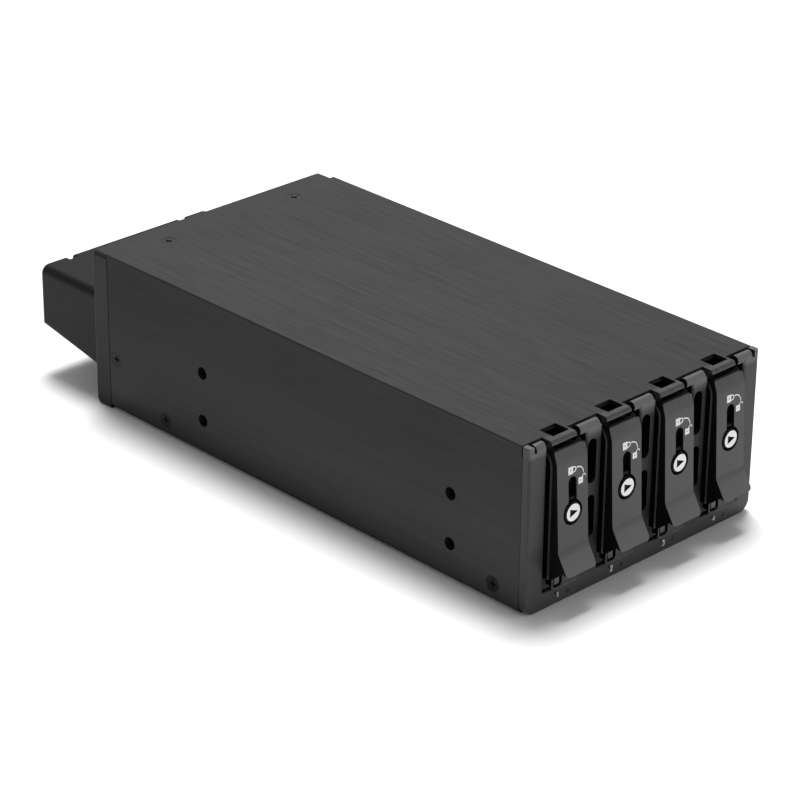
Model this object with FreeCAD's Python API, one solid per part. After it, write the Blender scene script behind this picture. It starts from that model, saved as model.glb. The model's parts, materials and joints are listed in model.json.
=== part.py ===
import FreeCAD, Part
import math, os

os.makedirs("parts", exist_ok=True)

# Four-bay hot swap drive cage. Millimetres.
# Working frame: X across the front from the left side, Y back from the front
# face of the bezel, Z up from the lower plane of a standard bay's hole pattern;
# the cage itself stands on the plane Z = Z_BASE.
# At the end every solid is moved so that the origin is the bottom centre of
# the whole assembly's box.

# ---- driving dimensions -------------------------------------------------
W = 71.0                 # overall width
H = 40.4                 # top of the cover
Z_BASE = 1.2             # resting surface
ZP = 2.6                 # lower edge of the side panels
T_COVER = 1.0            # cover sheet
Y_SIDE = 2.1             # front edge of the side panels
Y_TOP = 2.35             # front edge of the top between the tongues
Y_TONGUE = -0.6          # front edge of the cover's tongues
Y_COVER = 134.6          # rear edge of the cover
Y_FRAME0 = 134.8         # rear frame, front edge
Y_FRAME1 = 139.9         # rear frame, back face
Y_REAR = 162.8           # back face of the connector hood
Y_LIP = -5.45            # front-most point of the levers

HOLE_COLS = 79.25        # side holes: distance along the cage
HOLE_ROWS = 11.84        # side holes: distance in height
HOLE_Y0 = 22.4           # front column behind the bezel's face
HOLE_Z0 = 10.0           # lower row
HOLE_R = 1.5             # M3

BAYS = 4
BAY_X0 = 5.25            # left edge of the first opening
BAY_W = 11.5             # opening width
PITCH = 16.45            # bay pitch
RAIL = 5.2               # top of the bezel's bottom rail
BEZEL_T = 2.0            # bezel thickness
KNUCKLE_R = 1.1          # rolled top of each pillar
KNUCKLE_Y, KNUCKLE_Z = 1.1, H - 1.1
KNUCKLE_IN = 9.6         # a knuckle's left end, from the left edge of the opening beside it
TONGUE = (0.5, 7.9)      # a tongue's ends, from the opening's left edge

Y_GUIDE1 = 102.0         # rear end of trays' carriers and guides
Y_BACKPLANE = 110.6      # front face of the backplane
BACKPLANE_T = 1.6

PIVOT_Y, PIVOT_Z = 1.6, 34.6     # lever pivot
PIN_R = 0.60
TRAY_TOP = 37.9          # top of the trays' carriers and ears
LEVER_X0, LEVER_X1 = 1.25, 10.25  # lever, from the opening's left edge
LOCK_X, LOCK_Z = 5.75, 23.1       # lock axis, from the opening's left edge
LOCK_R = 2.24            # lock body
LOCK_FACE_R = 2.02       # its raised face
HOOD_X0, HOOD_X1 = 2.0, 54.0
WALL_HOOD = 1.4


# ---- helpers ------------------------------------------------------------
def V(x, y, z):
    return FreeCAD.Vector(x, y, z)


def box(x0, x1, y0, y1, z0, z1):
    return Part.makeBox(x1 - x0, y1 - y0, z1 - z0, V(x0, y0, z0))


def cylx(r, x0, x1, y, z):
    return Part.makeCylinder(r, x1 - x0, V(x0, y, z), V(1, 0, 0))


def cyly(r, y0, y1, x, z):
    return Part.makeCylinder(r, y1 - y0, V(x, y0, z), V(0, 1, 0))


def cylz(r, z0, z1, x, y):
    return Part.makeCylinder(r, z1 - z0, V(x, y, z0), V(0, 0, 1))


def poly_yz(pts, x0, x1):
    w = Part.makePolygon([V(x0, y, z) for y, z in pts] + [V(x0, pts[0][0], pts[0][1])])
    return Part.Face(w).extrude(V(x1 - x0, 0, 0))


def poly_xz(pts, y0, y1):
    w = Part.makePolygon([V(x, y0, z) for x, z in pts] + [V(pts[0][0], y0, pts[0][1])])
    return Part.Face(w).extrude(V(0, y1 - y0, 0))


def slot_y(xc, z0, z1, w, y0, y1):
    """upright slot with round ends, cut along Y"""
    r = w / 2.0
    s = box(xc - r, xc + r, y0, y1, z0 + r, z1 - r)
    return s.fuse([cyly(r, y0, y1, xc, z0 + r), cyly(r, y0, y1, xc, z1 - r)]).removeSplitter()


def slot_z(xc, y0, y1, w, z0, z1):
    """slot with round ends running along Y, cut along Z"""
    r = w / 2.0
    s = box(xc - r, xc + r, y0 + r, y1 - r, z0, z1)
    return s.fuse([cylz(r, z0, z1, xc, y0 + r), cylz(r, z0, z1, xc, y1 - r)]).removeSplitter()


def mid(e):
    a, b = e.ParameterRange
    return e.valueAt(0.5 * (a + b))


def is_line(e, axis):
    try:
        if e.Curve.TypeId != "Part::GeomLine":
            return False
    except Exception:
        return False
    d = e.Vertexes[-1].Point.sub(e.Vertexes[0].Point)
    if d.Length < 1e-6:
        return False
    d.normalize()
    return abs(getattr(d, axis)) > 0.999


def fillet(shape, r, test):
    es = [e for e in shape.Edges if test(e)]
    if not es:
        raise RuntimeError("no edge to round")
    return shape.makeFillet(r, es)


def near(a, b, tol=1e-3):
    return abs(a - b) < tol


def union(first, *rest):
    rest = [r for r in rest]
    s = first.fuse(rest) if rest else first
    return s.removeSplitter()


OUT = {}


def put(name, shape, solids=None):
    if not shape.isValid():
        raise RuntimeError("invalid shape " + name)
    n = len(shape.Solids)
    if solids is not None and n != solids:
        raise RuntimeError("%s has %d solids, expected %d" % (name, n, solids))
    OUT[name] = shape


XL = [BAY_X0 + PITCH * i for i in range(BAYS)]
XR = [x + BAY_W for x in XL]

SIDE_SCREWS = [(132.2, 14.8), (114.8, 5.4), (9.6, 5.6)]       # y, z
TOP_SCREWS = [(15.8, 131.3), (55.0, 131.5)]                   # x, y


def csk(p, d, grow, length):
    """countersunk screw, or with grow its hole: p is the head's centre in the
    outer surface and d points inwards"""
    h = 0.95
    q = p.add(FreeCAD.Vector(d.x * 0.05, d.y * 0.05, d.z * 0.05))
    s = Part.makeCone(1.85 + grow, 1.0 + grow, h, q, d)
    parts = [Part.makeCylinder(0.9 + grow, length, p.add(FreeCAD.Vector(d.x * 0.5, d.y * 0.5, d.z * 0.5)), d)]
    if grow > 0:
        parts.append(Part.makeCylinder(1.85 + grow, 1.05, p.sub(d), d))
    return s.fuse(parts).removeSplitter()


def csk_x(y, z, left, grow=0.0, length=2.9):
    return csk(V(0, y, z), V(1, 0, 0), grow, length) if left else csk(V(W, y, z), V(-1, 0, 0), grow, length)


def csk_z(x, y, grow=0.0, length=2.9):
    return csk(V(x, y, H), V(0, 0, -1), grow, length)


def cross_x(y, z, left):
    """cross recess for a side screw"""
    x0, x1 = (-0.2, 0.55) if left else (W - 0.55, W + 0.2)
    a = box(x0, x1, y - 0.95, y + 0.95, z - 0.19, z + 0.19)
    return a.fuse(box(x0, x1, y - 0.19, y + 0.19, z - 0.95, z + 0.95))


def cross_z(x, y):
    a = box(x - 0.95, x + 0.95, y - 0.19, y + 0.19, H - 0.55, H + 0.2)
    return a.fuse(box(x - 0.19, x + 0.19, y - 0.95, y + 0.95, H - 0.55, H + 0.2))


SIDE_HOLES = [(HOLE_Y0 + a * HOLE_COLS, HOLE_Z0 + b * HOLE_ROWS) for a in (0, 1) for b in (0, 1)]

# ---- top and side cover --------------------------------------------------
outer = box(0, W, Y_SIDE, Y_COVER, ZP, H)
outer = fillet(outer, 0.35, lambda e: is_line(e, "y") and near(mid(e).z, H))
cover = outer.cut(box(T_COVER, W - T_COVER, -5, 200, -5, H - T_COVER))
cover = cover.cut(box(-1, W + 1, Y_SIDE - 1, Y_TOP, H - 2.7, H + 1))
tongues = [box(XL[i] + TONGUE[0], XL[i] + TONGUE[1], Y_TONGUE, Y_TOP + 0.5, H - T_COVER, H) for i in range(BAYS)]
tongues = [fillet(t, 0.75, lambda e: is_line(e, "x") and mid(e).y < Y_TONGUE + 0.1 and mid(e).z > H - 0.1) for t in tongues]
cover = union(cover, *tongues)
cuts = []
for i in range(BAYS):
    cuts.append(box(XL[i] + 2.5, XL[i] + 7.3, 1.1, 5.0, H - 3, H + 1))
for y, z in SIDE_HOLES:
    cuts.append(cylx(HOLE_R, -1, T_COVER + 0.5, y, z))
    cuts.append(cylx(HOLE_R, W - T_COVER - 0.5, W + 1, y, z))
for y, z in SIDE_SCREWS:
    cuts += [csk_x(y, z, True, 0.04), csk_x(y, z, False, 0.04)]
for x, y in TOP_SCREWS:
    cuts.append(csk_z(x, y, 0.04))
cover = cover.cut(cuts)
put("top_cover", cover, 1)

# ---- base tray -----------------------------------------------------------
base = box(0.4, W - 0.4, Y_SIDE, Y_COVER, 1.6, ZP)
base = fillet(base, 0.7, lambda e: is_line(e, "y") and near(mid(e).z, 1.6))
base = union(base, box(1.0, 2.0, Y_SIDE, 128.0, ZP - 0.2, 30.0), box(W - 2.0, W - 1.0, Y_SIDE, 128.0, ZP - 0.2, 30.0))
cuts = []
for y, z in SIDE_HOLES:
    cuts.append(cylx(HOLE_R, 0.5, 2.5, y, z))
    cuts.append(cylx(HOLE_R, W - 2.5, W - 0.5, y, z))
for y, z in SIDE_SCREWS[1:]:
    cuts += [csk_x(y, z, True, 0.04), csk_x(y, z, False, 0.04)]
VENTS = []
for i in range(BAYS):
    xc = XL[i] + BAY_W / 2
    for k in range(5):
        VENTS.append((xc, 20.0 + 16.0 * k, 31.0 + 16.0 * k))
for xc, y0, y1 in VENTS:
    cuts.append(slot_z(xc, y0, y1, 3.2, 0, 6))
base = base.cut(cuts)
put("base_tray", base, 1)

# ---- front bezel ---------------------------------------------------------
Z_CORNER = H - 0.05
bez = box(0, W, 0, BEZEL_T, Z_BASE, Z_CORNER)
bez = fillet(bez, 3.0, lambda e: is_line(e, "y") and near(mid(e).z, Z_BASE))
for i in range(BAYS):
    bez = bez.cut(box(XL[i], XR[i], -1, 5, RAIL, H + 5))
bez = fillet(bez, 0.8, lambda e: is_line(e, "z") and near(mid(e).y, 0) and mid(e).z > RAIL and 1 < mid(e).x < W - 1)
bez = fillet(bez, 0.6, lambda e: is_line(e, "z") and near(mid(e).y, 0) and (mid(e).x < 0.1 or mid(e).x > W - 0.1))
bez = fillet(bez, 0.5, lambda e: is_line(e, "x") and near(mid(e).y, 0) and near(mid(e).z, RAIL))
# only the two outer corners reach the top; the knuckles stand between them
cuts = [box(1.3, W - 1.4, -1, 5, KNUCKLE_Z, H + 1), box(1.3, 2.0, -1, 5, H - 1.6, H + 1), box(W - 2.2, W - 1.4, -1, 5, H - 1.6, H + 1),
        box(XL[0] - 0.6, XL[0] + 0.1, -1, 5, H - 1.6, H + 1)]
for i in range(1, BAYS):
    cuts.append(box(XL[i] - 1.0, XL[i] + 0.1, -1, 5, H - 1.6, H + 1))
bez = bez.cut(cuts)
kn = [cylx(KNUCKLE_R, 2.0, XL[0] - 0.6, KNUCKLE_Y, KNUCKLE_Z),
      cylx(KNUCKLE_R, XL[-1] + KNUCKLE_IN, W - 2.2, KNUCKLE_Y, KNUCKLE_Z)]
for i in range(BAYS - 1):
    kn.append(cylx(KNUCKLE_R, XL[i] + KNUCKLE_IN, XL[i + 1] - 1.0, KNUCKLE_Y, KNUCKLE_Z))
lugs = [box(2.0, 4.8, BEZEL_T - 0.2, 13.0, 3.0, 8.4), box(W - 4.7, W - 2.0, BEZEL_T - 0.2, 13.0, 3.0, 8.4)]
bez = union(bez, *(kn + lugs))
cuts = []
for i in range(BAYS - 1):
    xc = XR[i] + 1.85
    cuts.append(slot_y(xc, 26.3, 36.6, 2.6, -1, 4))
    cuts.append(slot_y(xc, 13.7, 23.5, 2.6, -1, 4))
y, z = SIDE_SCREWS[2]
cuts += [csk_x(y, z, True, 0.04), csk_x(y, z, False, 0.04)]
for i in range(BAYS):
    cuts += [cyly(0.5, -1, 3, XL[i] + 7.3, 3.3), cyly(0.42, -1, 3, XL[i] + 3.6, 4.15)]
bez = bez.cut(cuts)
put("front_bezel", bez, 1)

lens = [cyly(0.48, 0.1, 2.0, XL[i] + 7.3, 3.3) for i in range(BAYS)]
lens += [cyly(0.40, 0.1, 2.0, XL[i] + 3.6, 4.15) for i in range(BAYS)]
lens = [fillet(l, 0.15, lambda e: mid(e).y < 0.2 and e.Curve.TypeId == "Part::GeomCircle") for l in lens]
put("status_lenses", Part.makeCompound(lens), 2 * BAYS)

# ---- tray guides ---------------------------------------------------------
RIB = 0.35
ribs_x = [(2.0, XL[0] + RIB)] + [(XR[i] - RIB, XL[i + 1] + RIB) for i in range(BAYS - 1)] + [(XR[-1] - RIB, W - 2.0)]
lower = [box(2.0, W - 2.0, 13.2, Y_GUIDE1, ZP, RAIL), box(5.2, W - 4.9, 3.1, 13.4, ZP, RAIL)]
for k, (a, b) in enumerate(ribs_x):
    y0 = 13.2 if k in (0, BAYS) else 3.1
    lower.append(box(a, b, y0, Y_GUIDE1, ZP, 8.2))
lower = union(*lower)
lower = lower.cut([slot_z(xc, y0, y1, 3.2, 0, 6) for xc, y0, y1 in VENTS])
put("lower_guide", lower, 1)

upper = [box(2.0, W - 2.0, 9.0, Y_GUIDE1, 38.2, H - T_COVER)]
for a, b in ribs_x:
    upper.append(box(a, b, 9.0, Y_GUIDE1, 35.2, 38.3))
upper = union(*upper)
put("upper_guide", upper, 1)

# ---- backplane and rear electronics --------------------------------------
YB0, YB1 = Y_BACKPLANE, Y_BACKPLANE + BACKPLANE_T
bp = box(2.6, W - 2.6, YB0, YB1, 3.4, 38.4)
bp_screws = [(4.6, 12.0), (4.6, 30.0), (W - 4.6, 12.0), (W - 4.6, 30.0)]
bp = bp.cut([cyly(1.1, YB0 - 1, YB1 + 1, x, z) for x, z in bp_screws])
bp = bp.cut([box(XR[i] + 1.0, XR[i] + 3.8, YB0 - 1, YB1 + 1, 28.5, 36.0) for i in range(BAYS - 1)])
put("backplane_board", bp, 1)

socks = []
for i in range(BAYS):
    x = XL[i]
    s = box(x + 5.7, x + 10.1, 102.6, YB0, 11.4, 32.6)
    s = fillet(s, 0.4, lambda e: is_line(e, "z") and mid(e).y < 102.7)
    s = s.cut(box(x + 7.15, x + 8.65, 102.0, 109.2, 12.8, 31.2))
    s = s.cut([box(x + 5.6, x + 5.95, 104.5, 109.5, 13.2 + 2.4 * k, 14.4 + 2.4 * k) for k in range(8)])
    socks.append(s)
put("backplane_sockets", Part.makeCompound(socks), BAYS)

br = []
for left in (True, False):
    def mx(a, b):
        return (a, b) if left else (W - b, W - a)
    a, b = mx(2.0, 3.0)
    leg = box(a, b, 104.0, YB0, 8.6, 34.0)
    a, b = mx(2.0, 6.2)
    foot = box(a, b, YB0 - 1.0, YB0, 8.6, 34.0)
    s = union(leg, foot)
    xs = 4.6 if left else W - 4.6
    s = s.cut([cyly(1.0, YB0 - 3, YB0 + 1, xs, z) for z in (12.0, 30.0)])
    br.append(s)
put("backplane_brackets", Part.makeCompound(br), 2)


def pan_y(x, y, z, r=1.9, h=1.2, length=4.0, shank=1.0, sign=-1):
    """pan head screw, head on the +Y side, shank towards -Y"""
    head = Part.makeCylinder(r, h, V(x, y, z), V(0, 1, 0))
    head = fillet(head, 0.45, lambda e: mid(e).y > y + h - 0.01 and e.Curve.TypeId == "Part::GeomCircle")
    s = head.fuse(Part.makeCylinder(shank, length, V(x, y, z), V(0, -1, 0))).removeSplitter()
    c = box(x - 1.0, x + 1.0, y + h - 0.5, y + h + 1, z - 0.2, z + 0.2).fuse(
        box(x - 0.2, x + 0.2, y + h - 0.5, y + h + 1, z - 1.0, z + 1.0))
    return s.cut(c)


put("backplane_screws", Part.makeCompound([pan_y(x, YB1, z, length=3.4, shank=0.95) for x, z in bp_screws]), 4)

ZB = 15.2     # underside of the connector board
CB_T = 1.6
cb = union(box(6.0, 52.0, YB1 + 0.4, 158.0, ZB, ZB + CB_T),
           box(51.0, 67.0, YB1 + 0.4, 138.0, ZB, ZB + CB_T))
STAND = [(10.0, 117.0), (49.0, 117.0), (10.0, 134.5), (49.0, 134.5), (63.5, 117.0)]
cb = cb.cut([cylz(1.35, ZB - 1, ZB + 3, x, y) for x, y in STAND])
put("connector_board", cb, 1)

st = []
for x, y in STAND:
    pts = [V(x + 2.5 * math.cos(math.radians(60 * k)), y + 2.5 * math.sin(math.radians(60 * k)), ZP) for k in range(6)]
    hexa = Part.Face(Part.makePolygon(pts + [pts[0]])).extrude(V(0, 0, ZB - ZP))
    st.append(union(hexa, cylz(1.3, ZB - 0.5, ZB + CB_T + 0.6, x, y)))
    head = cylz(2.3, ZB + CB_T, ZB + CB_T + 1.3, x, y)
    head = fillet(head, 0.5, lambda e: mid(e).z > ZB + CB_T + 1.2 and e.Curve.TypeId == "Part::GeomCircle")
    head = head.cut([box(x - 1.1, x + 1.1, y - 0.22, y + 0.22, ZB + CB_T + 0.8, 30), box(x - 0.22, x + 0.22, y - 1.1, y + 1.1, ZB + CB_T + 0.8, 30)])
    st[-1] = union(st[-1], head)
put("board_standoffs", Part.makeCompound(st), len(STAND))

hdr = box(13.5, 45.5, YB1, YB1 + 7.6, ZB + CB_T, ZB + CB_T + 5.6)
hdr = fillet(hdr, 0.5, lambda e: is_line(e, "x") and mid(e).y > YB1 + 7 and mid(e).z > 20)
hdr = hdr.cut([box(15.0 + 1.6 * k, 15.9 + 1.6 * k, YB1 + 2.0, YB1 + 6.4, ZB + CB_T + 5.1, 40) for k in range(18)])
put("board_header", hdr, 1)

# four receptacles of the data leads
DCX = [28.0 + 12.2 * (k - 1.5) for k in range(4)]
dc = []
for x in DCX:
    s = box(x - 5.2, x + 5.2, 147.0, 162.0, ZB + CB_T, ZB + CB_T + 6.8)
    s = fillet(s, 0.5, lambda e: is_line(e, "y"))
    s = s.cut(box(x - 4.5, x + 4.5, 153.5, 163.0, ZB + CB_T + 0.8, ZB + CB_T + 6.0))
    s = union(s, box(x - 3.9, x + 3.9, 153.0, 161.2, ZB + CB_T + 2.8, ZB + CB_T + 3.8))
    dc.append(s)
put("data_connectors", Part.makeCompound(dc), 4)

# power receptacle, two by two contacts
px0, px1, pz0 = 56.6, 66.4, ZB + CB_T
pw = box(px0, px1, 126.5, Y_FRAME1 - 0.2, pz0, pz0 + 9.8)
pw = fillet(pw, 0.4, lambda e: is_line(e, "y"))
for a in (0, 1):
    for b in (0, 1):
        xx, zz = px0 + 0.8 + 4.3 * a, pz0 + 0.8 + 4.3 * b
        pw = pw.cut(box(xx, xx + 3.9, 129.0, 141.0, zz, zz + 3.9))
        pw = union(pw, box(xx + 1.5, xx + 2.4, 128.5, 137.6, zz + 1.5, zz + 2.4))
put("power_connector", pw, 1)

comp = []
for x in DCX:
    c = box(x - 3.5, x + 3.5, 123.5, 130.5, pz0, pz0 + 0.95)
    comp.append(c.cut(cylz(0.4, pz0 + 0.8, pz0 + 2, x - 2.6, 129.6)))
for k in range(3):
    c = cylz(2.0, pz0, pz0 + 5.2, 56.0 + 0.0 * k + 4.9 * k - 1.0, 122.2)
    comp.append(fillet(c, 0.4, lambda e: mid(e).z > pz0 + 5 and e.Curve.TypeId == "Part::GeomCircle"))
for k in range(4):
    comp.append(box(XL[k] + 3.0, XL[k] + 6.0, YB1, YB1 + 1.2, 30.5, 34.5))
put("board_components", Part.makeCompound(comp), 11)

# ---- rear frame ----------------------------------------------------------
RF_T = 1.4
ZF1 = H - 0.35
ZF0 = Z_BASE
rf = box(0, W, Y_FRAME0, Y_FRAME1, ZF0, ZF1)
rf = fillet(rf, 1.5, lambda e: is_line(e, "x") and near(mid(e).y, Y_FRAME1) and near(mid(e).z, ZF0))
rf = fillet(rf, 1.2, lambda e: is_line(e, "y") and near(mid(e).z, ZF1))
rf = fillet(rf, 0.45, lambda e: near(mid(e).y, Y_FRAME1) and mid(e).z > ZF0 + 1.6)
rf = rf.cut(box(RF_T, W - RF_T, Y_FRAME0 - 1, Y_FRAME1 + 1, ZF0 + RF_T, ZF1 - RF_T))
tabs = [box(1.0, 2.2, 128.3, Y_FRAME1 - RF_T, 8.0, 23.0), box(W - 2.2, W - 1.0, 128.3, Y_FRAME1 - RF_T, 8.0, 23.0),
        box(8.0, 23.0, 127.6, Y_FRAME1 - RF_T, 38.0, H - T_COVER), box(48.0, 63.0, 127.6, Y_FRAME1 - RF_T, 38.0, H - T_COVER)]
rf = union(rf, *tabs)
cuts = []
y, z = SIDE_SCREWS[0]
cuts += [csk_x(y, z, True, 0.04), csk_x(y, z, False, 0.04)]
for x, yy in TOP_SCREWS:
    cuts.append(csk_z(x, yy, 0.04))
rf = rf.cut(cuts)
put("rear_frame", rf, 1)

# ---- plate set into the rear frame ---------------------------------------
rp = union(box(RF_T, W - RF_T, Y_FRAME1 - RF_T, Y_FRAME1 - 0.1, ZF0 + RF_T, ZF1 - RF_T),
           box(16.0, 43.0, 128.5, Y_FRAME1 - 1.0, ZP, ZP + 1.1))
cuts = [box(3.4, 52.6, 130, 150, 10.2, 26.7), box(px0 - 0.4, px1 + 0.4, 130, 150, pz0 - 0.4, pz0 + 10.2)]
for k in range(13):
    cuts.append(slot_y(6.5 + 4.85 * k, 30.2, 36.6, 2.6, 137.5, 145))
for k in range(10):
    cuts.append(box(7.0 + 6.1 * k, 10.4 + 6.1 * k, 137.5, 145, 4.6, 7.4))
rp = rp.cut(cuts)
put("rear_plate", rp, 1)

# ---- connector hood ------------------------------------------------------
hood = poly_yz([(Y_FRAME1, 8.6), (Y_FRAME1, 28.4), (Y_REAR, 28.4), (Y_REAR, 13.0)], HOOD_X0, HOOD_X1)
hood = fillet(hood, 2.3, lambda e: is_line(e, "y") and mid(e).z > 28)
hood = fillet(hood, 1.3, lambda e: is_line(e, "z") and near(mid(e).y, Y_REAR) or
              (abs(mid(e).z - 10.8) < 0.05 and not is_line(e, "x")))
hood = fillet(hood, 0.6, lambda e: is_line(e, "x") and near(mid(e).y, Y_REAR))
cavity = poly_yz([(Y_FRAME1 - 1, 9.9), (Y_FRAME1 - 1, 27.0), (Y_REAR - WALL_HOOD, 27.0), (Y_REAR - WALL_HOOD, 14.3)],
                 HOOD_X0 + WALL_HOOD, HOOD_X1 - WALL_HOOD)
hood = hood.cut(cavity)
cuts = [box(x - 5.4, x + 5.4, 160, 170, ZB + CB_T - 0.2, ZB + CB_T + 7.0) for x in DCX]
cuts += [box(9.3, 12.0, 160.4, 165, 26.3, 30), box(43.9, 46.7, 160.4, 165, 26.3, 30)]
hood = hood.cut(cuts)
put("rear_hood", hood, 1)

# ---- cover screws --------------------------------------------------------
scr = []
for y, z in SIDE_SCREWS:
    for left in (True, False):
        scr.append(csk_x(y, z, left).cut(cross_x(y, z, left)))
for x, y in TOP_SCREWS:
    scr.append(csk_z(x, y).cut(cross_z(x, y)))
put("cover_screws", Part.makeCompound(scr), 8)


# ---- trays ---------------------------------------------------------------
def lever(x):
    t = 0.7
    A, B, C, D = (-0.45, 38.1), (-1.5, 34.9), (-2.65, 15.0), (-5.45, 10.35)

    def off(p, q, d):
        dy, dz = q[0] - p[0], q[1] - p[1]
        n = math.hypot(dy, dz)
        return (-dz / n * d, dy / n * d)

    # inner side of the folded sheet, offset towards +Y
    n1, n2, n3 = off(A, B, t), off(B, C, t), off(C, D, t)

    def meet(p, n, q, m, a, b, c):
        # intersection of the offset lines (a-b) and (b-c)
        d1 = (b[0] - a[0], b[1] - a[1])
        d2 = (c[0] - b[0], c[1] - b[1])
        p0 = (a[0] + n[0], a[1] + n[1])
        q0 = (b[0] + m[0], b[1] + m[1])
        det = d1[0] * (-d2[1]) + d2[0] * d1[1]
        s = ((q0[0] - p0[0]) * (-d2[1]) + d2[0] * (q0[1] - p0[1])) / det
        return (p0[0] + s * d1[0], p0[1] + s * d1[1])

    A2 = (A[0] + n1[0], A[1] + n1[1])
    B2 = meet(None, n1, None, n2, A, B, C)
    C2 = meet(None, n2, None, n3, B, C, D)
    D2 = (D[0] + n3[0], D[1] + n3[1])
    x0, x1 = x + LEVER_X0, x + LEVER_X1
    plate = poly_yz([A, B, C, D, D2, C2, B2, A2], x0, x1)

    def at(p):
        return lambda e: is_line(e, "x") and abs(mid(e).y - p[0]) < 1e-3 and abs(mid(e).z - p[1]) < 1e-3

    plate = fillet(plate, 5.0, at(B))
    plate = fillet(plate, 4.3, at(B2))
    plate = fillet(plate, 2.2, at(C))
    plate = fillet(plate, 1.5, at(C2))
    md = (0.5 * (D[0] + D2[0]), 0.5 * (D[1] + D2[1]))
    plate = fillet(plate, 1.0, lambda e: not is_line(e, "x") and abs(mid(e).y - md[0]) < 1e-3 and abs(mid(e).z - md[1]) < 1e-3)
    flange = [(-0.55, 37.9), (-1.25, 35.3), (-1.62, 30.0), (-2.35, 15.2), (-4.45, 11.6), (-4.2, 10.9),
              (-0.7, 8.4), (0.4, 9.2), (0.4, 31.2), (1.6, 32.6), (1.6, 37.9)]
    parts = [plate]
    for a in (x0, x1 - 0.6):
        parts.append(poly_yz(flange, a, a + 0.6))
        parts.append(cylx(2.0, a, a + 0.6, PIVOT_Y, PIVOT_Z))
    parts.append(box(x0, x + 7.9, -0.3, 2.7, 37.2, 37.9))
    parts.append(box(x + 2.9, x + 6.2, 0.7, 2.5, 37.5, 39.0))
    s = union(*parts)
    # keyhole opening: lock window below, slot above
    s = s.cut([cyly(2.8, -8, 0.3, x + LOCK_X, LOCK_Z), slot_y(x + LOCK_X, 24.6, 31.2, 2.45, -8, 0.3)])
    # the upper right corner leaves room for the bezel's knuckle
    s = s.cut(box(x + 9.3, x1 + 1, -3, 4, 37.3, 40))
    collar = cyly(3.35, -1.62, 0.25, x + LOCK_X, LOCK_Z).cut(cyly(2.8, -8, -0.9, x + LOCK_X, LOCK_Z))
    s = union(s, collar)
    s = s.cut([cyly(LOCK_R + 0.06, -8, 2, x + LOCK_X, LOCK_Z),
               cylx(PIN_R + 0.05, x0 - 1, x1 + 1, PIVOT_Y, PIVOT_Z)])
    return s


def lock(x):
    xc, zc = x + LOCK_X, LOCK_Z
    head = cyly(LOCK_R, -2.05, 0.35, xc, zc)
    face = cyly(LOCK_FACE_R, -2.35, -1.9, xc, zc)
    face = fillet(face, 0.1, lambda e: mid(e).y < -2.3 and e.Curve.TypeId == "Part::GeomCircle")
    head = union(head, face)
    shaft = cyly(1.2, 0.2, 2.9, xc, zc)
    tongue = box(xc, xc + 3.2, 2.1, 2.9, zc - 0.9, zc + 0.9)
    tongue = fillet(tongue, 0.5, lambda e: is_line(e, "y") and mid(e).x > xc + 3)
    s = union(head, shaft, tongue)
    tri = poly_xz([(xc - 1.0, zc + 0.95), (xc - 1.0, zc - 0.95), (xc + 1.35, zc)], -3.0, -2.0)
    return s.cut(tri)


def tray_front(x):
    # ear beside the lever
    def ear(a, b):
        c = math.cos(math.radians(45))
        p = [V(a, -0.4, 8.4), V(a, -0.4, TRAY_TOP - 3.7), V(a, 3.3 - 3.7 * c, TRAY_TOP - 3.7 + 3.7 * c),
             V(a, 3.3, TRAY_TOP), V(a, 8.2, TRAY_TOP), V(a, 8.2, 29.0), V(a, 3.4, 26.0), V(a, 3.4, 10.0), V(a, 1.8, 8.4)]
        es = [Part.LineSegment(p[0], p[1]).toShape(), Part.Arc(p[1], p[2], p[3]).toShape()]
        for k in range(3, 8):
            es.append(Part.LineSegment(p[k], p[k + 1]).toShape())
        es.append(Part.LineSegment(p[8], p[0]).toShape())
        return Part.Face(Part.Wire(es)).extrude(V(b - a, 0, 0))

    wall = box(x + 0.6, x + 10.9, 0.9, 1.9, 5.5, 30.0)
    floor = box(x + 0.6, x + 10.9, 0.9, 8.2, 5.5, 6.3)
    lug = box(x + 9.4, x + 10.1, 1.5, 16.0, 9.0, 28.0)
    # upright loop round the end of the light pipe, and a ledge beside it
    loop = box(x + 1.6, x + 5.2, -0.75, -0.2, 5.4, 8.1)
    loop = fillet(loop, 1.1, lambda e: is_line(e, "y") and near(mid(e).z, 5.4))
    hole = box(x + 2.05, x + 4.75, -1.0, 0.5, 5.85, 9.0)
    hole = fillet(hole, 0.75, lambda e: is_line(e, "y") and near(mid(e).z, 5.85))
    loop = loop.cut(hole)
    stubs = [box(x + 1.6, x + 2.05, -0.3, 1.2, 6.6, 8.1), box(x + 4.75, x + 5.2, -0.3, 1.2, 6.6, 8.1)]
    ledge = box(x + 5.45, x + 10.9, -0.35, 1.0, 5.5, 7.8)
    ledge = fillet(ledge, 0.45, lambda e: is_line(e, "x") and near(mid(e).y, -0.35) and near(mid(e).z, 7.8))
    s = union(wall, floor, lug, ear(x + 0.6, x + 1.15), ear(x + 10.35, x + 10.9), loop, ledge, *stubs)
    s = s.cut([box(x + 2.0, x + 9.3, 0.0, 2.05, 19.4, 25.9),
               box(x + 2.0, x + 9.3, 0.0, 2.5, 10.2, 17.4),
               box(x + 2.6, x + 4.4, 0.0, 3.0, 6.3, 8.0),
               cylx(PIN_R, x, x + 12, PIVOT_Y, PIVOT_Z),
               cylx(0.9, x + 9, x + 12, 12.0, 13.0), cylx(0.9, x + 9, x + 12, 12.0, 24.0)])
    return s


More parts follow.
